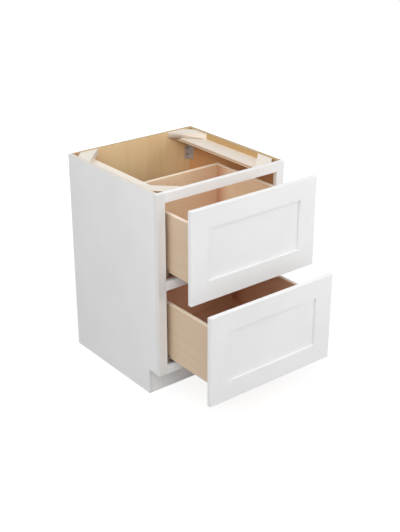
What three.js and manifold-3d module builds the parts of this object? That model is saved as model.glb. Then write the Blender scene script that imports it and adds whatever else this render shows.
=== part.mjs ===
// A face-frame kitchen base cabinet with two deep drawers, both partly pulled out.
// Millimetres, +Z up, the drawers open towards -Y, +X is the right-hand side seen from the front.
// The origin is on the floor, at the middle of the plan that the cabinet and its open drawers cover.

import * as THREE from 'three';
import { mergeVertices } from 'three/addons/utils/BufferGeometryUtils.js';
import Module from 'manifold-3d';

const wasm = await Module();
wasm.setup();

// ---------------------------------------------------------------- driving dimensions

// Carcass: a 24 13/16 inch wide, 24 inch deep, 34 1/2 inch high base.
const cabinetWidth = 630.2375;
const cabinetDepth = 609.6; // front of the face frame to the back of the back panel
const cabinetHeight = 876.3;
const kickHeight = 111.125;
const kickDepth = 73.025; // front of the face frame to the front of the toe-kick board
const sideThick = 15.875;
const backThick = 12.7;
const floorThick = 12.7;
const kickThick = 12.7;

// Face frame: two stiles with three rails between them.
const frameThick = 19.05;
const stileWidth = 38.1;
const railWidth = 38.1;
const middleRailRise = 3.175; // how far the middle rail lies above the frame's middle
const frameEase = 0.8;

// Plywood corner blocks and the stretchers under them.
const blockLeg = 121;
const blockClip = 36; // the cut-off tip leaves a small triangular hole in the corner
const blockThick = 24;
const blockDrop = 1.5; // how far the blocks lie below the cabinet's top edge
const stretcherThick = 12.7;
const leftStretcherWidth = 72;
const rightStretcherWidth = 80;

// Steel angles that tie the back panel to the sides.
const angleHeight = 62;
const angleDrop = 80.5; // cabinet's top edge to the angle's top edge
const angleLeg = 30;
const angleSteel = 2;
const angleHoleRadius = 2.6;
const angleHoleInset = 11; // the upper holes' centres to the angle's top edge
const angleHolePitch = 28;
const angleHoleGauge = 13; // hole centre to the angle's outer corner

// Drawer fronts: four square-edged members round a flat recessed panel.
const frontThick = 19.05;
const frontSideReveal = 7.9375;
const frontTopReveal = 7.9375;
const frontBottomReveal = 9.525;
const frontGap = 3.175;
const frontMember = 80.9625;
const frontEase = 1.2;
const panelThick = 6.35;
const panelRecess = 9.525;
const grooveDepth = 9.525;
const grooveFit = 0.2;

// Drawer boxes: dovetailed solid wood with a plywood bottom.
const boxWall = 15.875;
const boxRise = 51.5; // bottom edge of the front to the bottom edge of the box
const boxTopDrop = 79.375; // top edge of the front to the top edge of the box
const boxSideClearance = 19.05; // box to the edge of the face-frame opening
const boxFloorThick = 9.525;
const boxFloorRise = 12.7; // the recess under the bottom, where the slides run
const boxFloorGroove = 6.35;
const rimEase = 2;
const dovetailPitch = 27;
const pinWidth = 9; // a pin at its narrow end
const dovetailFlare = 2.4; // how much a pin widens on each side
const jointGap = 0.3;

// Concealed drawer slides, as long as the drawer boxes. Each has a track on the cabinet, a
// carriage that travels half as far as the drawer, and a carrier under the drawer's bottom.
const slideSetback = 3.175; // front of the face frame to the front of the slide
const slideRearClearance = 69.85; // rear end of the slide to the back panel
const slideSideClearance = 4.7625; // outer face of the track to the drawer box
const slideSteel = 1.5;
const slideRunning = 0.8; // gap between one member and the next
const slideDrop = 15; // the drawer box's bottom edge to the bottom of the track
const trackFlange = 29; // height of the flange that is screwed to the cabinet
const trackLip = 11; // height of the track's inner edge
const carriageShort = 14; // how much shorter the carriage is than the track
const carriageDrop = 1; // the drawer box's bottom edge to the top of the carriage
const carrierWidth = 20.1; // over the carrier's legs
const carrierFlange = 3.4; // how far the carrier's top plate overhangs its legs
const carrierClearance = 1.2; // carrier to the inside of the drawer's side
const clipLength = 36;
const clipHeight = 10.5;
const clipSlot = 3;
const clipSlotDepth = 11;
const cleatHeight = 41;
const cleatBelow = 4; // how far the cleat reaches below the slide

// How far the drawers stand open, measured from the face frame to the back of each front.
const upperPull = 175.3;
const lowerPull = 288.8;

// ---------------------------------------------------------------- places worked out from them

const innerHalf = cabinetWidth / 2 - sideThick; // middle to the inner face of a side panel
const openingHalf = cabinetWidth / 2 - stileWidth;
const backFace = cabinetDepth - backThick; // inner face of the back panel
const frameHeight = cabinetHeight - kickHeight;
const middleRail = (frameHeight - railWidth) / 2 + middleRailRise; // above the frame's bottom edge
const lowerOpening = kickHeight + railWidth; // bottom edge of the lower opening
const blockBottom = cabinetHeight - blockDrop - blockThick;

const frontWidth = cabinetWidth - 2 * frontSideReveal;
const frontHeight = (frameHeight - frontTopReveal - frontGap - frontBottomReveal) / 2;
const lowerFrontBottom = kickHeight + frontBottomReveal;
const upperFrontBottom = lowerFrontBottom + frontHeight + frontGap;

const boxLength = backFace - slideSetback - slideRearClearance;
const boxHeight = frontHeight - boxRise - boxTopDrop;
const boxHalf = openingHalf - boxSideClearance;
const boxInnerHalf = boxHalf - boxWall;
const trackHalf = boxHalf + slideSideClearance; // middle to the outer face of a track
const boxFloorTop = boxFloorRise + boxFloorThick;

const cutPast = 1; // how far a cutting shape reaches past the piece it cuts
const holeSides = 12;

// ---------------------------------------------------------------- materials

const finish = (color, roughness, metalness = 0) => ({ color, roughness, metalness });
const whitePaint = finish(0xe9e9e7, 0.42);
const birchPly = finish(0xc9a070, 0.55);
const palePly = finish(0xeee5d6, 0.65);
const maple = finish(0xd0ae8c, 0.5);
const zinc = finish(0x9a9896, 0.4, 0.8);
const greyPlastic = finish(0x77797c, 0.5);

// ---------------------------------------------------------------- small tools

const X = new THREE.Vector3(1, 0, 0);
const Y = new THREE.Vector3(0, 1, 0);
const Z = new THREE.Vector3(0, 0, 1);
const outlinePlane = {
  x: new THREE.Matrix4().makeBasis(Y, Z, X), // outline points are (y, z)
  y: new THREE.Matrix4().makeBasis(X, Z, Y.clone().negate()), // outline points are (x, z)
  z: new THREE.Matrix4(), // outline points are (x, y)
};

// A straight prism along one axis, from one coordinate to another on it.
function prism(axis, points, from, to, bevel = {}) {
  const shape = new THREE.Shape(points.map(([u, v]) => new THREE.Vector2(u, v)));
  const geometry = new THREE.ExtrudeGeometry(shape, { depth: to - from, bevelEnabled: false, ...bevel });
  const start = new THREE.Vector3();
  start[axis] = axis === 'y' ? to : from;
  return geometry.applyMatrix4(outlinePlane[axis]).translate(start.x, start.y, start.z);
}

const rectangle = (u0, v0, u1, v1) => [[u0, v0], [u1, v0], [u1, v1], [u0, v1]];

// A board's cross-section with its two upper edges eased.
const rimSection = (u0, v0, u1, v1) => [
  [u0, v0], [u1, v0], [u1, v1 - rimEase], [u1 - rimEase, v1], [u0 + rimEase, v1], [u0, v1 - rimEase],
];

const block = (low, high) => prism('z', rectangle(low[0], low[1], high[0], high[1]), low[2], high[2]);

function solid(geometry) {
  const bare = geometry.clone();
  bare.deleteAttribute('normal');
  bare.deleteAttribute('uv');
  const merged = mergeVertices(bare, 1e-4);
  return new wasm.Manifold(new wasm.Mesh({
    numProp: 3,
    vertProperties: new Float32Array(merged.attributes.position.array),
    triVerts: new Uint32Array(merged.index.array),
  }));
}

function geometryOf(made) {
  const mesh = made.getMesh();
  const geometry = new THREE.BufferGeometry();
  geometry.setAttribute('position', new THREE.BufferAttribute(mesh.vertProperties, 3));
  geometry.setIndex(new THREE.BufferAttribute(mesh.triVerts, 1));
  const shown = geometry.toNonIndexed();
  shown.computeVertexNormals();
  return shown;
}

function piece(name, geometry, look, x = 0, y = 0, z = 0) {
  const mesh = new THREE.Mesh(geometry, new THREE.MeshStandardMaterial(look));
  mesh.name = name;
  mesh.position.set(x, y, z);
  return mesh;
}

// A plain board, given by its size and the middle of its lowest face.
const board = (name, look, width, depth, height, x, y, z) =>
  piece(name, new THREE.BoxGeometry(width, depth, height), look, x, y, z + height / 2);

const sides = [['left', -1], ['right', 1]];

// A slab in the x-z plane, its front at y = 0, with eased edges all round.
function easedSlab(width, height, thick, ease) {
  const outline = rectangle(-width / 2 + ease, ease, width / 2 - ease, height - ease);
  const bevel = { bevelEnabled: true, bevelThickness: ease, bevelSize: ease, bevelSegments: 2 };
  return solid(prism('y', outline, ease, thick - ease, bevel));
}

// ---------------------------------------------------------------- carcass

function carcass() {
  const group = new THREE.Group();
  const boxDepth = backFace - frameThick; // face frame to back panel
  const boxMiddle = frameThick + boxDepth / 2;

  // Each side panel runs to the floor, with a notch at the front for the toe kick.
  const sideOutline = [
    [kickDepth, 0], [cabinetDepth, 0], [cabinetDepth, cabinetHeight],
    [frameThick, cabinetHeight], [frameThick, kickHeight], [kickDepth, kickHeight],
  ];
  for (const [side, sign] of sides) {
    const panel = prism('x', sideOutline, -sideThick / 2, sideThick / 2);
    group.add(piece(`${side}_side_panel`, panel, whitePaint, sign * (innerHalf + sideThick / 2)));
  }
  group.add(
    board('back_panel', birchPly, 2 * innerHalf, backThick, cabinetHeight, 0, backFace + backThick / 2, 0),
    board('bottom_panel', birchPly, 2 * innerHalf, boxDepth, floorThick,
      0, boxMiddle, lowerOpening - floorThick),
    board('toe_kick_board', whitePaint, 2 * innerHalf, kickThick, lowerOpening - floorThick,
      0, kickDepth + kickThick / 2, 0),
  );
  return group;
}

// Stiles and rails are cut from one eased outline, so that they meet flush.
function faceFrame() {
  const group = new THREE.Group();
  const blank = easedSlab(cabinetWidth, frameHeight, frameThick, frameEase);
  const cut = (name, x0, z0, x1, z1) => {
    const member = blank.intersect(solid(block([x0, 0, z0], [x1, frameThick, z1])));
    group.add(piece(name, geometryOf(member), whitePaint));
  };
  const half = cabinetWidth / 2;
  cut('left_stile', -half, 0, -openingHalf, frameHeight);
  cut('right_stile', openingHalf, 0, half, frameHeight);
  const rails = [
    ['bottom_rail', 0], ['middle_rail', middleRail], ['top_rail', frameHeight - railWidth],
  ];
  for (const [name, z] of rails) {
    cut(name, -openingHalf, z, openingHalf, z + railWidth);
  }
  group.position.z = kickHeight;
  return group;
}

// Two plywood stretchers lie along the sides, with a clipped triangular block over each corner.
function topBracing() {
  const group = new THREE.Group();
  const depth = backFace - frameThick;
  for (const [side, sign] of sides) {
    const width = side === 'left' ? leftStretcherWidth : rightStretcherWidth;
    group.add(board(`${side}_stretcher`, palePly, width, depth, stretcherThick,
      sign * (innerHalf - width / 2), frameThick + depth / 2, blockBottom - stretcherThick));
  }
  for (const [side, sign] of sides) {
    for (const [end, y, along] of [['front', frameThick, 1], ['rear', backFace, -1]]) {
      const outline = [[blockClip, 0], [blockLeg, 0], [0, blockLeg], [0, blockClip]]
        .map(([u, v]) => [-sign * u, along * v]);
      group.add(piece(`${end}_${side}_corner_block`, prism('z', outline, 0, blockThick), palePly,
        sign * innerHalf, y, blockBottom));
    }
  }
  return group;
}

function rearAngles() {
  const group = new THREE.Group();
  for (const [side, sign] of sides) {
    const outline = [
      [0, 0], [-angleLeg, 0], [-angleLeg, -angleSteel], [-angleSteel, -angleSteel],
      [-angleSteel, -angleLeg], [0, -angleLeg],
    ].map(([u, v]) => [sign * u, v]);
    let angle = solid(prism('z', outline, 0, angleHeight));
    const upperHoles = angleHeight - angleHoleInset;
    for (const z of [upperHoles, upperHoles - angleHolePitch]) {
      const drill = new THREE.CylinderGeometry(
        angleHoleRadius, angleHoleRadius, 2 * (angleSteel + cutPast), holeSides,
      );
      const throughBack = drill.clone().translate(-sign * angleHoleGauge, 0, z);
      const throughSide = drill.clone().rotateZ(Math.PI / 2).translate(0, -angleHoleGauge, z);
      angle = angle.subtract(solid(throughBack)).subtract(solid(throughSide));
    }
    group.add(piece(`rear_${side}_angle`, geometryOf(angle), zinc,
      sign * innerHalf, backFace, cabinetHeight - angleDrop - angleHeight));
  }
  return group;
}

// ---------------------------------------------------------------- drawer front

// Stiles run the full height; the rails' tongues and the panel sit in the grooves round the inside.
function drawerFront(label) {
  const group = new THREE.Group();
  const half = frontWidth / 2;
  const inner = half - frontMember;
  const grooveFront = panelRecess - grooveFit;
  const grooveBack = panelRecess + panelThick + grooveFit;
  const blank = easedSlab(frontWidth, frontHeight, frontThick, frontEase);
  const groove = solid(block(
    [-inner - grooveDepth - grooveFit, grooveFront, frontMember - grooveDepth - grooveFit],
    [inner + grooveDepth + grooveFit, grooveBack, frontHeight - frontMember + grooveDepth + grooveFit],
  ));
  for (const [side, sign] of sides) {
    const [x0, x1] = sign < 0 ? [-half, -inner] : [inner, half];
    const housing = solid(block(
      [sign * inner - grooveDepth - grooveFit, grooveFront, -cutPast],
      [sign * inner + grooveDepth + grooveFit, grooveBack, frontHeight + cutPast],
    ));
    const stile = blank.intersect(solid(block([x0, 0, 0], [x1, frontThick, frontHeight])));
    group.add(piece(`${label}_front_${side}_stile`, geometryOf(stile.subtract(housing)), whitePaint));
  }
  for (const [end, z0] of [['bottom', 0], ['top', frontHeight - frontMember]]) {
    const z1 = z0 + frontMember;
    const body = solid(block([-inner, 0, z0], [inner, frontThick, z1]));
    const tongue = solid(block(
      [-inner - grooveDepth, panelRecess, z0], [inner + grooveDepth, panelRecess + panelThick, z1],
    ));
    const rail = blank.intersect(body.add(tongue)).subtract(groove);
    group.add(piece(`${label}_front_${end}_rail`, geometryOf(rail), whitePaint));
  }
  const panelWidth = 2 * (inner + grooveDepth);
  const panelHeight = frontHeight - 2 * (frontMember - grooveDepth);
  group.add(board(`${label}_front_panel`, whitePaint, panelWidth, panelThick, panelHeight,
    0, panelRecess + panelThick / 2, frontMember - grooveDepth));
  return group;
}

// ---------------------------------------------------------------- drawer box

// The joints between two heights: for each pin, its narrow and wide edges, half pins at both ends.
function pinsBetween(bottom, top) {
  const count = Math.max(2, Math.round((top - bottom) / dovetailPitch));
  const pitch = (top - bottom) / count;
  return Array.from({ length: count + 1 }, (_, i) => {
    const middle = bottom + i * pitch;
    const edge = (half) => [Math.max(bottom, middle - half), Math.min(top, middle + half)];
    return { narrow: edge(pinWidth / 2), wide: edge(pinWidth / 2 + dovetailFlare) };
  });
}

// What the pins leave of a side board: a socket for each, a little larger than the pin.
function withSockets(boardSolid, pins, outer, inner, x0, x1) {
  const past = outer + cutPast * Math.sign(outer - inner);
  const floorOfSocket = inner + jointGap * Math.sign(inner - outer);
  let made = boardSolid;
  for (const { narrow, wide } of pins) {
    const [n0, n1] = [narrow[0] - jointGap, narrow[1] + jointGap];
    const [w0, w1] = [wide[0] - jointGap, wide[1] + jointGap];
    const outline = [
      [past, n0], [outer, n0], [floorOfSocket, w0], [floorOfSocket, w1], [outer, n1], [past, n1],
    ];
    made = made.subtract(solid(prism('x', outline, x0 - cutPast, x1 + cutPast)));
  }
  return made;
}

// The pins that one end board pushes out through the sides, as prisms along x.
function withPins(boardSolid, pins, outer, inner, innerEnd) {
  let made = boardSolid;
  for (const { narrow, wide } of pins) {
    const outline = [[outer, narrow[0]], [inner, wide[0]], [inner, wide[1]], [outer, narrow[1]]];
    for (const [, sign] of sides) {
      const root = innerEnd - cutPast; // the pin starts inside the board
      const [from, to] = sign < 0 ? [-boxHalf, -root] : [root, boxHalf];
      made = made.add(solid(prism('x', outline, from, to)));
    }
  }
  return made;
}

function drawerBox(label) {
  const group = new THREE.Group();
  const bottomPanelWidth = 2 * (boxInnerHalf + boxFloorGroove - grooveFit);
  const bottomPanelFront = boxWall - boxFloorGroove + grooveFit;
  const floorGroove = solid(block(
    [-boxInnerHalf - boxFloorGroove, boxWall - boxFloorGroove, boxFloorRise],
    [boxInnerHalf + boxFloorGroove, boxLength + cutPast, boxFloorTop + grooveFit],
  ));
  const backBottom = boxFloorTop + grooveFit;
  const frontPins = pinsBetween(0, boxHeight);
  const rearPins = pinsBetween(backBottom, boxHeight);
  const innerEnd = boxInnerHalf - jointGap;

  const rearFace = boxLength - boxWall;
  for (const [side, sign] of sides) {
    const [x0, x1] = sign < 0 ? [-boxHalf, -boxInnerHalf] : [boxInnerHalf, boxHalf];
    const blank = solid(prism('y', rimSection(x0, 0, x1, boxHeight), 0, boxLength));
    const atFront = withSockets(blank, frontPins, 0, boxWall, x0, x1);
    const atBoth = withSockets(atFront, rearPins, boxLength, rearFace, x0, x1);
    group.add(piece(`${label}_box_${side}_side`, geometryOf(atBoth.subtract(floorGroove)), maple));
  }

  const frontBody = solid(prism('x', rectangle(0, 0, boxWall, boxHeight), -innerEnd, innerEnd));
  const frontShape = solid(prism('x', rimSection(0, 0, boxWall, boxHeight), -boxHalf, boxHalf));
  const front = withPins(frontBody, frontPins, 0, boxWall, innerEnd).intersect(frontShape);
  group.add(piece(`${label}_box_front`, geometryOf(front.subtract(floorGroove)), maple));

  const backCorners = [rearFace, backBottom, boxLength, boxHeight];
  const backBody = solid(prism('x', rectangle(...backCorners), -innerEnd, innerEnd));
  const backShape = solid(prism('x', rimSection(...backCorners), -boxHalf, boxHalf));
  const back = withPins(backBody, rearPins, boxLength, rearFace, innerEnd).intersect(backShape);
  group.add(piece(`${label}_box_back`, geometryOf(back), maple));

  group.add(board(`${label}_box_bottom`, birchPly, bottomPanelWidth, boxLength - bottomPanelFront,
    boxFloorThick, 0, (boxLength + bottomPanelFront) / 2, boxFloorRise));
  return group;
}

// ---------------------------------------------------------------- slides

// A slide's sections are drawn as (distance in from the track's outer face, height above the drawer
// box's bottom edge). Each member lies inside the next, one steel and one running gap away.
const nesting = slideSteel + slideRunning;
const carrierFrom = slideSideClearance + boxWall + carrierClearance + carrierFlange;
const carrierTo = carrierFrom + carrierWidth;
const trackWidth = carrierTo + 2 * nesting;
const trackBottom = -slideDrop;
const carriageBottom = trackBottom + nesting;
const carrierBottom = carriageBottom + nesting;

// The same section for the left-hand slide (sign -1) and the right-hand one (sign 1).
const placed = (points, sign) => points.map(([u, v]) => [sign * (trackHalf - u), v]);

// The cleats and the fixed tracks, in the cabinet.
function fixedTracks(label) {
  const group = new THREE.Group();
  const t = slideSteel;
  const lipTop = trackBottom + trackLip;
  const flangeTop = trackBottom + trackFlange;
  const track = [
    [0, trackBottom], [trackWidth, trackBottom], [trackWidth, lipTop], [trackWidth - t, lipTop],
    [trackWidth - t, trackBottom + t], [t, trackBottom + t], [t, flangeTop], [0, flangeTop],
  ];
  const cleatDepth = backFace - frameThick;
  const cleatWidth = innerHalf - trackHalf;
  for (const [side, sign] of sides) {
    group.add(
      board(`${label}_${side}_slide_cleat`, palePly, cleatWidth, cleatDepth, cleatHeight,
        sign * (trackHalf + cleatWidth / 2), frameThick + cleatDepth / 2, trackBottom - cleatBelow),
      piece(`${label}_${side}_slide_track`, prism('y', placed(track, sign), 0, boxLength), zinc,
        0, slideSetback, 0),
    );
  }
  return group;
}

function carriages(label) {
  const group = new THREE.Group();
  const t = slideSteel;
  const [from, to] = [carrierFrom - nesting, carrierTo + nesting];
  const [low, high] = [carriageBottom, -carriageDrop];
  const section = [
    [from, low], [to, low], [to, high], [to - t, high],
    [to - t, low + t], [from + t, low + t], [from + t, high], [from, high],
  ];
  for (const [side, sign] of sides) {
    group.add(piece(`${label}_${side}_slide_carriage`,
      prism('y', placed(section, sign), 0, boxLength - carriageShort), zinc));
  }
  return group;
}

// The carriers, each with a clip in front of it that locks the drawer to the slide.
function carriers(label) {
  const group = new THREE.Group();
  const t = slideSteel;
  const [from, to, low, high] = [carrierFrom, carrierTo, carrierBottom, boxFloorRise];
  const section = [
    [from - carrierFlange, high], [from - carrierFlange, high - t], [from, high - t], [from, low],
    [from + t, low], [from + t, high - t], [to - t, high - t], [to - t, low],
    [to, low], [to, high - t], [to + carrierFlange, high - t], [to + carrierFlange, high],
  ];
  const start = boxWall + clipLength;
  for (const [side, sign] of sides) {
    const body = placed(rectangle(from, high - clipHeight, to, high), sign);
    const slotMiddle = high - clipHeight / 2;
    const cut = placed(rectangle(
      from - cutPast, slotMiddle - clipSlot / 2, from + clipSlotDepth, slotMiddle + clipSlot / 2,
    ), sign);
    const clip = solid(prism('y', body, boxWall, start - slideRunning));
    const slot = solid(prism('y', cut, boxWall + clipSlot, start));
    group.add(
      piece(`${label}_${side}_slide_carrier`, prism('y', placed(section, sign), start, boxLength), zinc),
      piece(`${label}_${side}_locking_clip`, geometryOf(clip.subtract(slot)), greyPlastic),
    );
  }
  return group;
}

// ---------------------------------------------------------------- assembly

function drawer(label, pull, boxBottom) {
  const group = new THREE.Group();
  const front = drawerFront(label);
  front.position.set(0, -frontThick, -boxRise);
  group.add(front, drawerBox(label), carriers(label));
  group.position.set(0, -pull, boxBottom);
  return group;
}

const inCabinet = new THREE.Group();
inCabinet.add(carcass(), faceFrame(), topBracing(), rearAngles());

const drawers = [['upper', upperPull, upperFrontBottom], ['lower', lowerPull, lowerFrontBottom]];
for (const [label, pull, frontBottom] of drawers) {
  const boxBottom = frontBottom + boxRise;
  const tracks = fixedTracks(label);
  tracks.position.z = boxBottom;
  const middle = carriages(label);
  middle.position.set(0, slideSetback - pull / 2, boxBottom);
  inCabinet.add(tracks, middle, drawer(label, pull, boxBottom));
}

// The plan runs from the front of the drawer that is furthest out to the cabinet's back.
const reach = Math.max(upperPull, lowerPull) + frontThick;
inCabinet.position.y = (reach - cabinetDepth) / 2;

const baseCabinet = new THREE.Group();
baseCabinet.add(inCabinet);

export default baseCabinet;
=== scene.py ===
"""A white face-frame base cabinet with two dovetailed drawers, both partly pulled out.

Metres, +Z up, the drawers open towards -Y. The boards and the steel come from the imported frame; this
script gives them their finishes and adds the screws, staples and bumpers, a floor, lights and a camera.
"""

import math

import bmesh
import bpy
from mathutils import Matrix, Vector


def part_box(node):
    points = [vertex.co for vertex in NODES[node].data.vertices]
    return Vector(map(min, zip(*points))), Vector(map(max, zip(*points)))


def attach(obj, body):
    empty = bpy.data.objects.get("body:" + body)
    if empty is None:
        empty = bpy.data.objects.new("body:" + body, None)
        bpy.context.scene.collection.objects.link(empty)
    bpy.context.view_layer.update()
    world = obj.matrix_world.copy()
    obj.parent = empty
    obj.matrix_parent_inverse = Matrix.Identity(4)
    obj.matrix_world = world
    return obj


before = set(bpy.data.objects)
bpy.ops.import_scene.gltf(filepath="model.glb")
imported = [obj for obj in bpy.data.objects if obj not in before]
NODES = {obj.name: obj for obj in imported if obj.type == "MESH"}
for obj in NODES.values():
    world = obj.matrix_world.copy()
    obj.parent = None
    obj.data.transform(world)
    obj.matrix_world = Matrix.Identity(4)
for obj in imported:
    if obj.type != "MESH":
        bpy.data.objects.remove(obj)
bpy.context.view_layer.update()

MM = 0.001
SIDES = (("left", -1), ("right", 1))  # with their signs along X
ENDS = (("front", 1), ("rear", -1))  # with the way along Y from each to the middle
DRAWERS = ("upper", "lower")
AXES = {"x": Vector((1, 0, 0)), "y": Vector((0, 1, 0)), "z": Vector((0, 0, 1))}


# ---------------------------------------------------------------- camera

# The camera that a fit to the cabinet's corners in the photograph gave, in a 400 x 532 picture.
CAMERA_PLACE = (-2.2975, -2.9132, 2.1606)
CAMERA_AZIMUTH = math.radians(-38.336)
CAMERA_ELEVATION = math.radians(24.756)
FOCAL_PIXELS = 996.845
PICTURE_HEIGHT = 532  # the long side, which the sensor's width belongs to


def make_camera():
    data = bpy.data.cameras.new("camera")
    data.sensor_width = 36.0
    data.lens = FOCAL_PIXELS * data.sensor_width / PICTURE_HEIGHT
    camera = bpy.data.objects.new("camera", data)
    camera.location = CAMERA_PLACE
    camera.rotation_euler = (math.pi / 2 - CAMERA_ELEVATION, 0, CAMERA_AZIMUTH)
    bpy.context.scene.collection.objects.link(camera)
    bpy.context.scene.camera = camera


# ---------------------------------------------------------------- shader tools

COS_45 = 0.7  # a little less, so that a face at 45 degrees counts


class Shader:
    """The node tree of a new material or world.

    Inputs are given by name or number, as values or as other nodes' outputs.
    """

    def __init__(self, name, library="materials"):
        self.owner = getattr(bpy.data, library).new(name)
        self.owner.use_nodes = True
        self.tree = self.owner.node_tree
        self.tree.nodes.clear()

    def node(self, kind, inputs=None, output=0, **settings):
        made = self.tree.nodes.new("ShaderNode" + kind)
        for key, value in settings.items():
            setattr(made, key, value)
        for key, value in (inputs or {}).items():
            if isinstance(value, bpy.types.NodeSocket):
                self.tree.links.new(value, made.inputs[key])
            else:
                made.inputs[key].default_value = value
        return made.outputs[output] if len(made.outputs) else None

    def math(self, operation, a, b=0.0, clamp=False):
        return self.node("Math", {0: a, 1: b}, operation=operation, use_clamp=clamp)

    def mix(self, factor, a, b, blend="MIX"):
        """Colours a and b mixed."""
        inputs = {0: factor, 6: a, 7: b}
        return self.node("Mix", inputs, output=2, data_type="RGBA", blend_type=blend)

    def ramp(self, value, stops, interpolation="LINEAR"):
        made = self.tree.nodes.new("ShaderNodeValToRGB")
        made.color_ramp.interpolation = interpolation
        elements = made.color_ramp.elements
        while len(elements) < len(stops):
            elements.new(1.0)
        for element, (position, colour) in zip(elements, stops):
            element.position = position
            element.color = colour
        self.tree.links.new(value, made.inputs[0])
        return made.outputs[0]

    def to_range(self, value, low, high, new_low, new_high, interpolation="LINEAR"):
        inputs = {"Value": value, "From Min": low, "From Max": high, "To Min": new_low, "To Max": new_high}
        return self.node("MapRange", inputs, interpolation_type=interpolation)

    def place(self):
        """The point in the object's own frame, which is the whole part's frame."""
        return self.node("TexCoord", output="Object")

    def parts_of(self, vector):
        made = self.tree.nodes.new("ShaderNodeSeparateXYZ")
        self.tree.links.new(vector, made.inputs[0])
        return dict(zip("xyz", made.outputs))

    def facing(self, direction):
        """1 on faces whose normal is within about 45 degrees of a direction, else 0."""
        normal = self.node("NewGeometry", output="True Normal")
        dot = self.node("VectorMath", {0: normal, 1: direction}, output="Value", operation="DOT_PRODUCT")
        return self.math("GREATER_THAN", dot, COS_45)

    def bump(self, height, strength, distance):
        return self.node("Bump", {"Height": height, "Strength": strength, "Distance": distance})

    def finish(self, **inputs):
        """A principled surface; input names are written with underscores."""
        named = {key.replace("_", " "): value for key, value in inputs.items()}
        surface = self.node("BsdfPrincipled", named)
        self.node("OutputMaterial", {"Surface": surface})
        return self.owner


def rgb(red, green, blue):
    """A colour as it shows on the screen (0 to 255), made linear."""
    def linear(value):
        c = value / 255
        return c / 12.92 if c <= 0.04045 else ((c + 0.055) / 1.055) ** 2.4

    return (linear(red), linear(green), linear(blue), 1.0)


def dimmed(tone, share):
    return tuple(share * part for part in tone[:3]) + (1.0,)


# ---------------------------------------------------------------- paint

# The two tones that a coat drifts between. The duller coat is painted shade on the left stile; the brighter
# one is painted light on the middle rail and the toe kick, which lie in shade.
PAINT = (rgb(236, 236, 236), rgb(241, 241, 241))
PAINT_PAINTED_SHADE = (rgb(229, 228, 227), rgb(234, 233, 232))
PAINT_PAINTED_LIGHT = (rgb(248, 248, 249), rgb(252, 252, 253))


def paint_layer(sh, tones):
    """Sprayed satin white: a very slight mottle and orange peel. Returns colour, roughness, height."""
    place = sh.place()
    cloud = sh.node("TexNoise", {"Vector": place, "Scale": 5.0, "Detail": 3.0})
    colour = sh.ramp(cloud, [(0.3, tones[0]), (0.7, tones[1])])
    peel = sh.node("TexNoise", {"Vector": place, "Scale": 700.0, "Detail": 2.0})
    ripple = sh.node("TexNoise", {"Vector": place, "Scale": 45.0, "Detail": 2.0})
    height = sh.math("ADD", sh.math("MULTIPLY", peel, 0.5), ripple)
    roughness = sh.to_range(cloud, 0.3, 0.7, 0.36, 0.46)
    return colour, roughness, height


def white_paint(name, tones):
    """Paint all over, on a piece of the face frame or of a drawer front."""
    sh = Shader(name)
    colour, roughness, height = paint_layer(sh, tones)
    return sh.finish(
        Base_Color=colour, Roughness=roughness, Normal=sh.bump(height, 0.25, 0.1 * MM),
    )


# ---------------------------------------------------------------- wood

# The grain runs along the first axis, and the other two lie across it.
GRAINS = {"x": "xyz", "y": "yxz", "z": "zxy"}


def along_grain(sh, grain, seed, stretch=1.0):
    """Object coordinates turned so that the grain runs along X, and shifted by the seed.

    A stretch under 1 draws a pattern out along the grain.
    """
    parts = sh.parts_of(sh.place())
    order = GRAINS[grain]
    along = sh.math("MULTIPLY", parts[order[0]], stretch)
    turned = sh.node("CombineXYZ", {0: along, 1: parts[order[1]], 2: parts[order[2]]})
    shift = (1.7 * seed, 0.37 * seed, 0.53 * seed)
    return sh.node("VectorMath", {0: turned, 1: shift}, operation="ADD")


def figure(sh, grain, seed, ring, warp, sawn):
    """Growth bands, 0 to 1, about a ring wide, that wander by up to half of warp.

    A sawn board cuts across rings about a pith, which gives arches; a peeled veneer follows one
    wandering ring, which gives contours.
    """
    parts = sh.parts_of(sh.place())
    along, across, deep = (parts[axis] for axis in GRAINS[grain])
    bend = sh.node("TexNoise", {"Vector": along_grain(sh, grain, seed, 0.12), "Scale": 6.0, "Detail": 1.5})
    wander = sh.math("MULTIPLY", sh.math("SUBTRACT", bend, 0.5), warp)
    if sawn:
        slope = 0.05 * (-1) ** seed
        pith_aside = 0.05 - 0.02 * (seed % 5)
        pith_depth = 0.045 + 0.011 * (seed % 3)
        lean = sh.math("MULTIPLY", along, slope)
        beside = sh.math("SUBTRACT", across, pith_aside)
        above = sh.math("ADD", sh.math("ADD", deep, lean), pith_depth)
        from_pith = sh.node("CombineXYZ", {1: beside, 2: above})
        radius = sh.node("VectorMath", {0: from_pith}, output="Value", operation="LENGTH")
    else:
        radius = sh.math("MULTIPLY", across, 0.06)
    reach = sh.math("ADD", radius, wander)
    bands = {"W": sh.math("MULTIPLY", reach, 1 / ring), "Scale": 1.0, "Detail": 2.0, "Roughness": 0.6}
    return sh.node("TexNoise", bands, noise_dimensions="1D")


def fibres(sh, grain, seed, scale, stretch=0.03):
    place = along_grain(sh, grain, seed + 3, stretch)
    return sh.node("TexNoise", {"Vector": place, "Scale": scale, "Detail": 4.0, "Roughness": 0.6})


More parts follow.
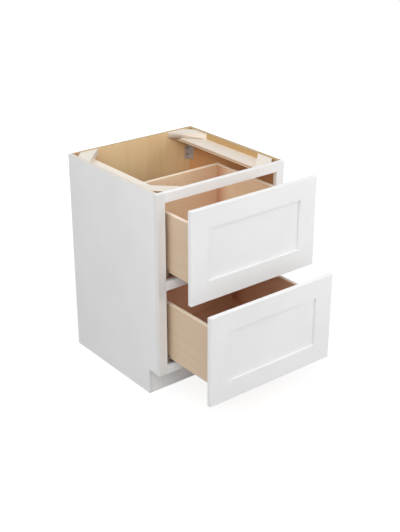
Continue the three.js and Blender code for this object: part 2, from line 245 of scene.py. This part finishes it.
def wood_layer(sh, grain, seed, tones, sawn=True):
    """A board's face: growth bands, streaks, fine fibres and a broad drift in tone.

    Returns colour, roughness, height.
    """
    light, dark = tones
    bands = figure(sh, grain, seed, 6 * MM, 50 * MM, sawn)
    fine = fibres(sh, grain, seed, 520.0)
    streaks = fibres(sh, grain, seed, 45.0, 0.05)
    drift = sh.node("TexNoise", {"Vector": along_grain(sh, grain, seed, 0.4), "Scale": 6.0, "Detail": 1.0})
    share = 0.45
    for part, weight in ((bands, 0.75), (streaks, 0.8), (fine, 0.5), (drift, 0.7)):
        share = sh.math("ADD", share, sh.math("MULTIPLY", sh.math("SUBTRACT", part, 0.5), weight))
    share = sh.math("ADD", share, 0.0, clamp=True)
    colour = sh.mix(share, light, dark)
    roughness = sh.to_range(fine, 0.3, 0.7, 0.42, 0.56)
    return colour, roughness, fine


def end_grain_layer(sh, grain, seed, tones):
    """Open end grain: darker, with fine pores instead of fibres."""
    light, dark = tones
    rings = figure(sh, grain, seed, 3 * MM, 10 * MM, True)
    pores = sh.node("TexNoise", {"Vector": sh.place(), "Scale": 1400.0, "Detail": 2.0})
    share = sh.math("ADD", sh.math("MULTIPLY", rings, 0.4), sh.math("MULTIPLY", pores, 0.6))
    return sh.mix(share, light, dark), 0.62, pores


def ply_edge_layer(sh, through, low, thick, plies, tones):
    """A plywood edge: veneers of turned grain, light and dark in turn, with small voids."""
    place = sh.place()
    parts = sh.parts_of(place)
    wobble = sh.node("TexNoise", {"Vector": place, "Scale": 22.0, "Detail": 2.0})
    wavy = sh.math("MULTIPLY", sh.math("SUBTRACT", wobble, 0.5), 0.9 * MM)
    depth = sh.math("ADD", sh.math("SUBTRACT", parts[through], low), wavy)
    ply = sh.math("MULTIPLY", depth, plies / thick)
    turned = sh.math("PINGPONG", ply, 1.0)
    speckle = sh.node("TexNoise", {"Vector": place, "Scale": 900.0, "Detail": 3.0})
    light, dark = tones
    crisp = sh.to_range(turned, 0.38, 0.62, 0.0, 1.0)
    share = sh.math("ADD", crisp, sh.math("MULTIPLY", sh.math("SUBTRACT", speckle, 0.5), 0.9), clamp=True)
    colour = sh.mix(share, light, dark)
    return colour, 0.68, sh.math("ADD", sh.math("MULTIPLY", crisp, 0.4), speckle)


def layered(sh, base, *tops):
    """Layers of (colour, roughness, height), each top one shown where its mask is 1."""
    colour, roughness, height = base
    for mask, layer in tops:
        colour = sh.mix(mask, colour, layer[0])
        roughness = sh.node("Mix", {0: mask, 2: roughness, 3: layer[1]})
        height = sh.node("Mix", {0: mask, 2: height, 3: layer[2]})
    return colour, roughness, height


def either_way(sh, axis):
    """1 on both faces across an axis."""
    toward = sh.facing(AXES[axis])
    away = sh.facing(-AXES[axis])
    return sh.math("ADD", toward, away, clamp=True)


# Lighter and darker tones of each wood.
MAPLE = (rgb(220, 198, 172), rgb(209, 179, 149))
# The inner faces are warmer and brighter than the outer ones: painted light from warm bounce. The lower
# drawer's are deeper and redder: painted shade.
MAPLE_INSIDE_LIGHT_AND_SHADE = {
    "upper": (rgb(232, 209, 181), rgb(221, 191, 159)), "lower": (rgb(233, 192, 160), rgb(223, 171, 137)),
}
# The lighter tones of the top faces are a painted highlight.
MAPLE_TOP_HIGHLIGHT = (rgb(243, 228, 209), rgb(234, 213, 189))
MAPLE_END = (rgb(218, 190, 158), rgb(184, 146, 112))
BIRCH = (rgb(237, 211, 167), rgb(225, 191, 139))
BIRCH_GOLD = (rgb(203, 169, 118), rgb(187, 145, 90))
PALE = (rgb(240, 233, 222), rgb(231, 219, 205))
PALE_BLOCK = {"left": (rgb(230, 224, 214), rgb(221, 210, 197)), "right": PALE}

# The same of plywood seen on edge, and of a side darkened as painted shade.
BIRCH_EDGE = (rgb(234, 212, 178), rgb(196, 156, 112))
PALE_EDGE = (rgb(246, 239, 229), rgb(224, 207, 188))
STRETCHER_EDGE = (rgb(246, 228, 208), rgb(200, 172, 146))
CREAM_EDGE = (rgb(222, 217, 209), rgb(214, 205, 193))
TAN_EDGE = (rgb(196, 172, 138), rgb(176, 148, 110))
CLIP_SHADE_TONES = (rgb(176, 146, 118), rgb(152, 120, 94))

# Painted shade: the sides' veneer turns redder below the stretchers, fully up to one height, not at all from
# the other.
RED_SHADE_TONE = rgb(246, 168, 118)
RED_SHADE_SHARE = 0.42
RED_SHADE_HEIGHTS = (0.81, 0.85)

# Painted shade in some boards near an upright corner: how far from it it reaches, and the share of the
# shade's tone there. A drawer's boards are told apart by their grain.
CORNER_SHADE_TONE = rgb(184, 128, 92)
BOX_CORNER_SHADE = {"x": (0.24, 0.36), "y": (0.09, 0.8)}
BACK_CORNER_SHADE = (0.04, 0.75)


def painted_shade_below(sh, layer):
    """A layer with painted shade: redder below the stretchers."""
    colour, roughness, height = layer
    level = sh.parts_of(sh.place())["z"]
    share = sh.to_range(level, *RED_SHADE_HEIGHTS, RED_SHADE_SHARE, 0.0)
    return sh.mix(share, colour, RED_SHADE_TONE), roughness, height


def painted_corner_shade(sh, layer, corner, reach, most):
    """A layer with painted shade that deepens towards the upright line through a corner."""
    colour, roughness, height = layer
    parts = sh.parts_of(sh.place())
    aside = sh.math("SUBTRACT", parts["x"], corner.x)
    before = sh.math("SUBTRACT", parts["y"], corner.y)
    flat = sh.node("CombineXYZ", {0: aside, 1: before})
    gap = sh.node("VectorMath", {0: flat}, output="Value", operation="LENGTH")
    share = sh.to_range(gap, 0.0, reach, most, 0.0, "SMOOTHSTEP")
    return sh.mix(share, colour, CORNER_SHADE_TONE), roughness, height


def solid_board(node, grain, seed, inward, inside_light_and_shade_tones, corner):
    """A maple board: end grain at its ends, a painted highlight on top, and an inner face in tones of
    painted light and shade, with painted shade towards a corner.
    """
    sh = Shader(node)
    face = wood_layer(sh, grain, seed, MAPLE)
    inner = wood_layer(sh, grain, seed, inside_light_and_shade_tones)
    inner = painted_corner_shade(sh, inner, corner, *BOX_CORNER_SHADE[grain])
    # A painted highlight on the faces that look up.
    rim = wood_layer(sh, grain, seed, MAPLE_TOP_HIGHLIGHT)
    ends = end_grain_layer(sh, grain, seed, MAPLE_END)
    tops = (sh.facing(inward), inner), (sh.facing(AXES["z"]), rim), (either_way(sh, grain), ends)
    colour, roughness, height = layered(sh, face, *tops)
    return sh.finish(
        Base_Color=colour, Roughness=roughness, Normal=sh.bump(height, 0.22, 0.12 * MM), Coat_Weight=0.15,
        Coat_Roughness=0.3,
    )


def painted(*directions, tones=PAINT):
    """The painted sides of a plywood board."""
    return [(direction, lambda sh: paint_layer(sh, tones)) for direction in directions]


def painted_clip_shade(direction, grain, seed):
    """Painted shade on a side of a plywood board, in darker end-grain tones."""
    return [(direction, lambda sh: end_grain_layer(sh, grain, seed, CLIP_SHADE_TONES))]


def ply_board(node, grain, through, seed, tones, edge_tones, plies, sides=(), shade=None):
    """A plywood board: veneer on its faces, and veneers on edge at its rim.

    Each of sides is a direction and a function that makes the layer seen there instead. A shade is a
    function that changes the veneer's tone.
    """
    sh = Shader(node)
    low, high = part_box(node)
    axis = "xyz".index(through)
    face = wood_layer(sh, grain, seed, tones, sawn=False)
    if shade:
        face = shade(sh, face)
    edge = ply_edge_layer(sh, through, low[axis], high[axis] - low[axis], plies, edge_tones)
    tops = [(either_way(sh, through), face)]
    tops += [(sh.facing(direction), layer(sh)) for direction, layer in sides]
    colour, roughness, height = layered(sh, edge, *tops)
    return sh.finish(Base_Color=colour, Roughness=roughness, Normal=sh.bump(height, 0.2, 0.12 * MM))


# ---------------------------------------------------------------- steel, plastic and rubber


def zinc(name, tone, roughness):
    """Zinc-plated steel: a faint spangle, rolling lines along Y and a little dulling."""
    sh = Shader(name)
    place = sh.place()
    spangle = sh.node("TexVoronoi", {"Vector": place, "Scale": 260.0}, output="Color")
    lines = sh.node("Mapping", {"Vector": place, "Scale": (1.0, 0.03, 1.0)})
    rolled = sh.node("TexNoise", {"Vector": lines, "Scale": 900.0, "Detail": 3.0})
    dull = sh.node("TexNoise", {"Vector": place, "Scale": 30.0, "Detail": 4.0})
    colour = sh.mix(sh.math("MULTIPLY", dull, 0.9), tone, dimmed(tone, 0.82))
    colour = sh.mix(0.06, colour, spangle)
    rough = sh.to_range(dull, 0.3, 0.7, roughness - 0.06, roughness + 0.1)
    return sh.finish(
        Base_Color=colour, Metallic=1.0, Roughness=rough, Normal=sh.bump(rolled, 0.12, 0.05 * MM),
    )


def moulded(name, tone, roughness, grain_scale):
    """A moulded plastic or rubber with a fine spark-eroded texture."""
    sh = Shader(name)
    place = sh.place()
    cloud = sh.node("TexNoise", {"Vector": place, "Scale": 40.0, "Detail": 3.0})
    colour = sh.mix(cloud, tone, dimmed(tone, 0.88))
    grain = sh.node("TexNoise", {"Vector": place, "Scale": grain_scale, "Detail": 2.0})
    return sh.finish(
        Base_Color=colour, Roughness=sh.to_range(cloud, 0.3, 0.7, roughness - 0.04, roughness + 0.06),
        Normal=sh.bump(grain, 0.3, 0.05 * MM),
    )


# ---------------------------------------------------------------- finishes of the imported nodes


# How many times the tone turns between light and dark through each kind of plywood board.
SIDE_PLIES = 9
PANEL_PLIES = 7
BLOCK_PLIES = 11
STRETCHER_PLIES = 2


def dress(node, material):
    for slot in NODES[node].material_slots:
        slot.material = material


def dress_ply(node, *board, **more):
    dress(node, ply_board(node, *board, **more))


# The seed of each board, a whole number, picks its figure.


def dress_paint():
    # The left stile's duller coat is painted shade, and the middle rail's brighter coat is painted light.
    dress("left_stile", white_paint("satin_white_paint_painted_shade", PAINT_PAINTED_SHADE))
    dress("middle_rail", white_paint("satin_white_paint_painted_light", PAINT_PAINTED_LIGHT))
    paint = white_paint("satin_white_paint", PAINT)
    frame_members = ["right_stile", "bottom_rail", "top_rail"]
    front_members = ("left_stile", "right_stile", "bottom_rail", "top_rail", "panel")
    for node in frame_members + [f"{d}_front_{m}" for d in DRAWERS for m in front_members]:
        dress(node, paint)


def dress_carcass():
    forward = -AXES["y"]
    for seed, (side, sign) in enumerate(SIDES):
        edge_tones = CREAM_EDGE if side == "left" else TAN_EDGE
        board = ("z", "x", seed, BIRCH_GOLD, edge_tones, SIDE_PLIES)
        # The sides' veneer carries painted shade below the stretchers.
        dress_ply(f"{side}_side_panel", *board, painted(AXES["x"] * sign, forward), painted_shade_below)

    corner = Vector((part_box("left_side_panel")[1].x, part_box("back_panel")[0].y, 0))

    # Painted shade on the back panel near its rear left corner.
    def shaded_at_left(sh, veneer):
        return painted_corner_shade(sh, veneer, corner, *BACK_CORNER_SHADE)

    dress_ply("back_panel", "z", "y", 5, BIRCH, TAN_EDGE, PANEL_PLIES, shade=shaded_at_left)
    dress_ply("bottom_panel", "x", "z", 6, BIRCH, BIRCH_EDGE, PANEL_PLIES)
    # The toe kick's brighter coat is painted light.
    kick_paint = painted(forward, tones=PAINT_PAINTED_LIGHT)
    dress_ply("toe_kick_board", "x", "y", 7, BIRCH, BIRCH_EDGE, PANEL_PLIES, kick_paint)


def dress_bracing():
    seed = 10
    for side, sign in SIDES:
        dress_ply(f"{side}_stretcher", "y", "z", seed, PALE, STRETCHER_EDGE, STRETCHER_PLIES)
        for end, inward in ENDS:
            seed += 1
            board = ("x", "z", seed, PALE_BLOCK[side], PALE_EDGE, BLOCK_PLIES)
            clipped = Vector((sign, -inward, 0)).normalized()
            # The corner blocks' clipped sides carry painted shade.
            dress_ply(f"{end}_{side}_corner_block", *board, painted_clip_shade(clipped, "x", seed))
        for drawer in DRAWERS:
            seed += 1
            dress_ply(f"{drawer}_{side}_slide_cleat", "y", "x", seed, PALE, PALE_EDGE, BLOCK_PLIES)


def dress_drawer_boxes():
    walls = (
        ("left_side", "y", AXES["x"]), ("right_side", "y", -AXES["x"]),
        ("front", "x", AXES["y"]), ("back", "x", -AXES["y"]),
    )
    bottom_seeds = {"upper": 33, "lower": 37}
    seed = 20
    for drawer in DRAWERS:
        # Inner faces in tones of painted light, and of painted shade in the lower drawer.
        tones = MAPLE_INSIDE_LIGHT_AND_SHADE[drawer]
        corner = Vector((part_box(f"{drawer}_box_right_side")[0].x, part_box(f"{drawer}_box_back")[0].y, 0))
        for board, grain, inward in walls:
            seed += 1
            node = f"{drawer}_box_{board}"
            dress(node, solid_board(node, grain, seed, inward, tones, corner))
        bottom = ("x", "z", bottom_seeds[drawer], tones, BIRCH_EDGE, PANEL_PLIES)
        dress_ply(f"{drawer}_box_bottom", *bottom)


def dress_hardware():
    # The slides' steel is darker and warmer than bare zinc: painted shade and painted reflection of the wood
    # around it.
    slide_steel = zinc("slide_zinc", rgb(172, 162, 152), 0.42)
    angle_steel = zinc("angle_zinc", rgb(225, 222, 220), 0.55)
    clip_plastic = moulded("clip_plastic", rgb(120, 122, 126), 0.5, 900.0)
    for side, _ in SIDES:
        dress(f"rear_{side}_angle", angle_steel)
        for drawer in DRAWERS:
            for member in ("track", "carriage", "carrier"):
                dress(f"{drawer}_{side}_slide_{member}", slide_steel)
            dress(f"{drawer}_{side}_locking_clip", clip_plastic)


# Bevels that catch the light: sheet metal and hand-tight joints get finer ones than boards.
BOARD_BEVEL = 0.5 * MM
JOINT_BEVEL = 0.15 * MM
METAL_BEVEL = 0.3 * MM
SHARP = math.radians(35)


def soften(node, width):
    """Rounds a node's sharp edges; the node's own mesh stays as it is."""
    piece = NODES[node]
    weld = piece.modifiers.new("weld", "WELD")
    weld.merge_threshold = 0.01 * MM
    bevel = piece.modifiers.new("bevel", "BEVEL")
    bevel.width = width
    bevel.segments = 2
    bevel.limit_method = "ANGLE"
    bevel.angle_limit = SHARP


def soften_nodes():
    for node in NODES:
        if node.endswith(("track", "carriage", "carrier", "angle")):
            soften(node, METAL_BEVEL)
        elif "_box_" in node or "_front_" in node or node.endswith(("stile", "rail")):
            soften(node, JOINT_BEVEL)
        else:
            soften(node, BOARD_BEVEL)


# ---------------------------------------------------------------- small hardware

ROUND = 24  # corners of a round fitting

# The radius and height of each screw's head, and of a bumper.
ANGLE_SCREW = (3.7 * MM, 1.7 * MM)
TRACK_SCREW = (3.6 * MM, 1.2 * MM)
FRONT_SCREW = (4.6 * MM, 2.0 * MM)
CLIP_SCREW = (3.2 * MM, 1.4 * MM)
BUMPER = (4.8 * MM, 1.7 * MM)


def frame_at(point, normal):
    """A matrix that puts a small fitting's foot at a point, standing along a normal."""
    return Matrix.Translation(Vector(point)) @ Vector(normal).to_track_quat("Z", "Y").to_matrix().to_4x4()


def lathe(bm, profile, place):
    """Rings of (radius, height), joined; returns the last ring's vertices."""
    turns = [2 * math.pi * i / ROUND for i in range(ROUND)]
    rings = []
    for radius, height in profile:
        points = [(radius * math.cos(turn), radius * math.sin(turn), height) for turn in turns]
        rings.append([bm.verts.new(place @ Vector(point)) for point in points])
    for lower, upper in zip(rings, rings[1:]):
        for i in range(ROUND):
            j = (i + 1) % ROUND
            bm.faces.new((lower[i], lower[j], upper[j], upper[i]))
    bm.faces.new(tuple(reversed(rings[0])))
    return rings[-1]


def cross_outline(reach, half):
    """The twelve corners of a plus sign."""
    arm = [(reach, -half), (reach, half), (half, half)]
    return [
        (x * math.cos(t) - y * math.sin(t), x * math.sin(t) + y * math.cos(t))
        for t in (k * math.pi / 2 for k in range(4))
        for x, y in arm
    ]


def screw(bm, point, normal, size):
    """A pan head with a cross recess."""
    radius, height = size
    place = frame_at(point, normal)
    profile = [
        (radius * 0.98, -0.02 * height), (radius, 0.3 * height), (radius * 0.9, 0.7 * height),
        (radius * 0.72, height),
    ]
    rim = lathe(bm, profile, place)
    arm, half_slot = 0.46 * radius, 0.1 * radius
    taper, floor_height = 0.55, 0.25 * height
    outline = cross_outline(arm, half_slot)
    mouth = [bm.verts.new(place @ Vector((x, y, height))) for x, y in outline]
    floor = [bm.verts.new(place @ Vector((taper * x, taper * y, floor_height))) for x, y in outline]
    edges = []
    for loop in (rim, mouth):
        for i, vertex in enumerate(loop):
            pair = (vertex, loop[(i + 1) % len(loop)])
            edges.append(bm.edges.get(pair) or bm.edges.new(pair))
    bmesh.ops.triangle_fill(bm, use_beauty=True, use_dissolve=False, edges=edges)
    for i in range(len(mouth)):
        j = (i + 1) % len(mouth)
        bm.faces.new((mouth[i], mouth[j], floor[j], floor[i]))
    bm.faces.new(floor)


def staple(bm, point, normal, angle, crown=11.0 * MM):
    """A staple's crown with its two shoulders, driven almost flush."""
    place = frame_at(point, normal) @ Matrix.Rotation(angle, 4, "Z")
    half, thick, width = crown / 2, 0.55 * MM, 1.2 * MM
    sunk, shoulder, proud = 0.5 * MM, 0.4 * MM, 0.12 * MM
    outer = [(-half, -sunk), (-half, 0.0), (-half + shoulder, proud)]
    outer += [(-x, z) for x, z in reversed(outer)]
    inner = [(x * (half - thick) / half, z - (thick if abs(x) < half else 0)) for x, z in reversed(outer)]
    front, back = (
        [bm.verts.new(place @ Vector((x, y, z))) for x, z in outer + inner]
        for y in (-width / 2, width / 2)
    )
    count = len(front)
    for i in range(count):
        j = (i + 1) % count
        bm.faces.new((front[i], front[j], back[j], back[i]))
    for i in range(len(outer) - 1):
        k = count - 1 - i
        bm.faces.new((front[i], front[k], front[k - 1], front[i + 1]))
        bm.faces.new((back[i + 1], back[k - 1], back[k], back[i]))


def dome(bm, point, normal, size):
    """A soft round bumper."""
    radius, height = size
    place = frame_at(point, normal)
    profile = [
        (radius * 0.97, 0.0), (radius, 0.25 * height), (radius * 0.94, 0.6 * height),
        (radius * 0.78, 0.88 * height), (radius * 0.5, height),
    ]
    top = lathe(bm, profile, place)
    bm.faces.new(top)


def piece_of(name, body, material, build):
    """One object on a CAD body, filled by a function that adds to a mesh."""
    mesh = bpy.data.meshes.new(name)
    bm = bmesh.new()
    build(bm)
    bmesh.ops.recalc_face_normals(bm, faces=bm.faces)
    bm.to_mesh(mesh)
    bm.free()
    mesh.materials.append(material)
    made = bpy.data.objects.new(name, mesh)
    bpy.context.scene.collection.objects.link(made)
    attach(made, body)


def add_angle_screws(dark_screw, pale_screw):
    """Two screws through each leg of the rear angles."""
    hole_inset, hole_pitch, hole_gauge, steel = 11 * MM, 28 * MM, 13 * MM, 2 * MM
    for side, sign in SIDES:
        low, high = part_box(f"rear_{side}_angle")
        heights = (high.z - hole_inset, high.z - hole_inset - hole_pitch)
        corner_x = low.x if sign < 0 else high.x

        def through_back(bm):
            for z in heights:
                place = (corner_x - sign * hole_gauge, high.y - steel, z)
                screw(bm, place, (0, -1, 0), ANGLE_SCREW)

        def through_side(bm):
            for z in heights:
                place = (corner_x - sign * steel, high.y - hole_gauge, z)
                screw(bm, place, (-sign, 0, 0), ANGLE_SCREW)

        piece_of(f"rear_{side}_angle_back_screws", "cabinet", dark_screw, through_back)
        piece_of(f"rear_{side}_angle_side_screws", "cabinet", pale_screw, through_side)


def add_block_staples(steel):
    """Each corner block is stapled along both edges that meet the carcass."""
    inset, reaches = 9 * MM, (46 * MM, 78 * MM)
    for end, inward in ENDS:
        for side, sign in SIDES:
            block = f"{end}_{side}_corner_block"
            low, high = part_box(block)
            corner = (low.x if sign < 0 else high.x, low.y if inward > 0 else high.y)

            def build(bm):
                for reach in reaches:
                    beside = (corner[0] - sign * inset, corner[1] + inward * reach, high.z)
                    staple(bm, beside, (0, 0, 1), math.pi / 2)
                    across = (corner[0] - sign * reach, corner[1] + inward * inset, high.z)
                    staple(bm, across, (0, 0, 1), 0.0)

            piece_of(f"{block}_staples", "cabinet", steel, build)


def middle_height(node):
    low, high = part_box(node)
    return (low.z + high.z) / 2


def add_back_staples(steel):
    """Staples from behind into the bottom panel and the corner blocks."""
    low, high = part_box("back_panel")
    block_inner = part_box("rear_right_corner_block")[0].x
    bottom_level = middle_height("bottom_panel")
    block_level = middle_height("rear_right_corner_block")
    count, margin = 7, 40 * MM
    pitch = (high.x - low.x - 2 * margin) / (count - 1)

    def build(bm):
        for i in range(count):
            x = low.x + margin + i * pitch
            staple(bm, (x, high.y, bottom_level), (0, 1, 0), 0.0)
            if abs(x) > block_inner:
                staple(bm, (x, high.y, block_level), (0, 1, 0), 0.0)

    piece_of("back_panel_staples", "cabinet", steel, build)


def add_track_screws(steel):
    """Each track is screwed to its cleat."""
    flange_steel, from_top, from_rear = 1.5 * MM, 8 * MM, 14 * MM
    from_front = (30 * MM, 130 * MM, 320 * MM)
    for drawer in DRAWERS:
        for side, sign in SIDES:
            low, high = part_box(f"{drawer}_{side}_slide_track")
            face_x = (low.x if sign < 0 else high.x) - sign * flange_steel
            places = [low.y + reach for reach in from_front] + [high.y - from_rear]

            def build(bm):
                for y in places:
                    screw(bm, (face_x, y, high.z - from_top), (-sign, 0, 0), TRACK_SCREW)

            piece_of(f"{drawer}_{side}_track_screws", "cabinet", steel, build)


def add_front_screws(drawer, steel):
    """Four screws through the box front hold the drawer front."""
    low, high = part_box(f"{drawer}_box_front")
    column = 0.62 * high.x
    above_bottom, below_top = 62 * MM, 58 * MM

    def build(bm):
        for x in (-column, column):
            for z in (low.z + above_bottom, high.z - below_top):
                screw(bm, (x, high.y, z), (0, 1, 0), FRONT_SCREW)

    piece_of(f"{drawer}_front_screws", f"{drawer}_drawer", steel, build)


def add_clip_screws(drawer, steel):
    """Two screws through each locking clip; their places are shares of its length."""
    shares = (0.3, 0.72)

    def build(bm):
        for side, _ in SIDES:
            low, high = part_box(f"{drawer}_{side}_locking_clip")
            for share in shares:
                y = low.y + share * (high.y - low.y)
                screw(bm, ((low.x + high.x) / 2, y, low.z), (0, 0, -1), CLIP_SCREW)

    piece_of(f"{drawer}_clip_screws", f"{drawer}_drawer", steel, build)


def add_bottom_staples(drawer, steel):
    """Staples through the bottom into the box back; their places are shares of the half width."""
    shares, from_rear = (-0.7, -0.35, 0.0, 0.35, 0.7), 8 * MM
    low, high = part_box(f"{drawer}_box_bottom")

    def build(bm):
        for share in shares:
            staple(bm, (share * high.x, high.y - from_rear, low.z), (0, 0, -1), 0.0)

    piece_of(f"{drawer}_bottom_staples", f"{drawer}_drawer", steel, build)


def add_bumpers(drawer, rubber):
    """A bumper near each corner of the front's back."""
    from_side, from_top, from_bottom = 12 * MM, 14 * MM, 26 * MM
    low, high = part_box(f"{drawer}_front_left_stile")

    def build(bm):
        for x in (low.x + from_side, -low.x - from_side):
            for z in (high.z - from_top, low.z + from_bottom):
                dome(bm, (x, high.y, z), (0, 1, 0), BUMPER)

    piece_of(f"{drawer}_bumpers", f"{drawer}_drawer", rubber, build)


def add_small_hardware():
    steel = zinc("screw_zinc", rgb(196, 194, 188), 0.3)
    dark_screw = zinc("black_screw", rgb(70, 64, 60), 0.45)
    rubber = moulded("bumper_rubber", rgb(216, 216, 212), 0.55, 300.0)
    add_angle_screws(dark_screw, steel)
    add_block_staples(steel)
    add_back_staples(steel)
    add_track_screws(steel)
    for drawer in DRAWERS:
        add_front_screws(drawer, steel)
        add_clip_screws(drawer, steel)
        add_bottom_staples(drawer, steel)
        add_bumpers(drawer, rubber)


# ---------------------------------------------------------------- stage and light

FLOOR_HALF = 40.0
FLOOR_DROP = 0.5 * MM  # keeps the floor clear of the cabinet's underside
FLOOR_BOUNCE = (0.56, 0.56, 0.56, 1)  # what the object's surroundings see of the floor
FLOOR_TONES = ((0.24, 0.24, 0.24, 1), (0.25, 0.25, 0.25, 1))  # what the camera sees, lit
NEAR_GLOW = (0.8, 0.84)  # how far out, and how much the floor glows there
FAR_GLOW = (2.2, 1.0)
SKY = 0.17  # the world's light on the object
SKY_TONE = (1.0, 0.995, 0.99, 1)
WHITE = (1, 1, 1, 1)


def seen_directly(sh):
    """1 for camera, mirror and glass rays, which should find a white background."""
    path = sh.tree.nodes.new("ShaderNodeLightPath")
    rays = sh.math("ADD", path.outputs["Is Camera Ray"], path.outputs["Is Glossy Ray"])
    return sh.math("ADD", rays, path.outputs["Is Transmission Ray"], clamp=True)


def floor_material():
    """Pale. Seen directly it glows, so that it reads white, but less near the object, to keep its shadow."""
    sh = Shader("pale_floor")
    bounce = sh.node("BsdfDiffuse", {"Color": FLOOR_BOUNCE})
    grain = sh.node("TexNoise", {"Vector": sh.place(), "Scale": 3.0, "Detail": 2.0})
    pale = sh.ramp(grain, [(0.0, FLOOR_TONES[0]), (1.0, FLOOR_TONES[1])])
    lit = sh.node("BsdfDiffuse", {"Color": pale})
    away = sh.node("VectorMath", {0: sh.place()}, output="Value", operation="LENGTH")
    strength = sh.to_range(away, NEAR_GLOW[0], FAR_GLOW[0], NEAR_GLOW[1], FAR_GLOW[1])
    glow = sh.node("Emission", {"Color": WHITE, "Strength": strength})
    shown = sh.node("AddShader", {0: lit, 1: glow})
    surface = sh.node("MixShader", {0: seen_directly(sh), 1: bounce, 2: shown})
    sh.node("OutputMaterial", {"Surface": surface})
    return sh.owner


def make_floor():
    mesh = bpy.data.meshes.new("floor")
    h = FLOOR_HALF
    mesh.from_pydata([(-h, -h, 0), (h, -h, 0), (h, h, 0), (-h, h, 0)], [], [(0, 1, 2, 3)])
    mesh.materials.append(floor_material())
    floor = bpy.data.objects.new("floor", mesh)
    floor.location.z = -FLOOR_DROP
    bpy.context.scene.collection.objects.link(floor)


def make_world():
    """A dim, slightly warm sky that is white where it is seen directly."""
    sh = Shader("studio", "worlds")
    bpy.context.scene.world = sh.owner
    sky = sh.node("Background", {"Color": SKY_TONE, "Strength": SKY})
    white = sh.node("Background", {"Color": WHITE, "Strength": 1.0})
    surface = sh.node("MixShader", {0: seen_directly(sh), 1: sky, 2: white})
    sh.node("OutputWorld", {"Surface": surface})


def softbox(name, place, target, size, watts):
    """A square lamp, metres wide, turned towards its target."""
    data = bpy.data.lights.new(name, "AREA")
    data.shape = "SQUARE"
    data.size = size
    data.energy = watts
    lamp = bpy.data.objects.new(name, data)
    lamp.location = place
    lamp.rotation_euler = (Vector(target) - Vector(place)).to_track_quat("-Z", "Y").to_euler()
    bpy.context.scene.collection.objects.link(lamp)


def make_stage():
    make_floor()
    make_world()
    centre = (0, 0, 0.4)
    softbox("near_right", (1.3, -1.9, 1.3), (0, -0.4, 0.5), 1.0, 16.0)
    softbox("front", (-2.2, -4.0, 3.5), centre, 3.0, 76.0)
    softbox("front_high", (-0.6, -2.6, 3.6), centre, 2.5, 14.0)
    softbox("left_front", (-3.4, -2.8, 2.6), centre, 2.5, 27.5)
    softbox("left", (-3.5, -0.8, 2.4), centre, 2.5, 14.0)
    softbox("left_high", (-2.2, -0.3, 3.4), centre, 2.5, 42.0)
    softbox("top", (-0.2, -0.2, 2.8), centre, 2.0, 8.0)
    softbox("right", (3.9, 0.1, 2.5), centre, 2.5, 19.0)
    softbox("back", (0.8, 4.6, 2.4), centre, 3.0, 42.0)
    bpy.context.scene.view_settings.view_transform = "Standard"


# ---------------------------------------------------------------- the whole scene


make_camera()
dress_paint()
dress_carcass()
dress_bracing()
dress_drawer_boxes()
dress_hardware()
soften_nodes()
add_small_hardware()
make_stage()
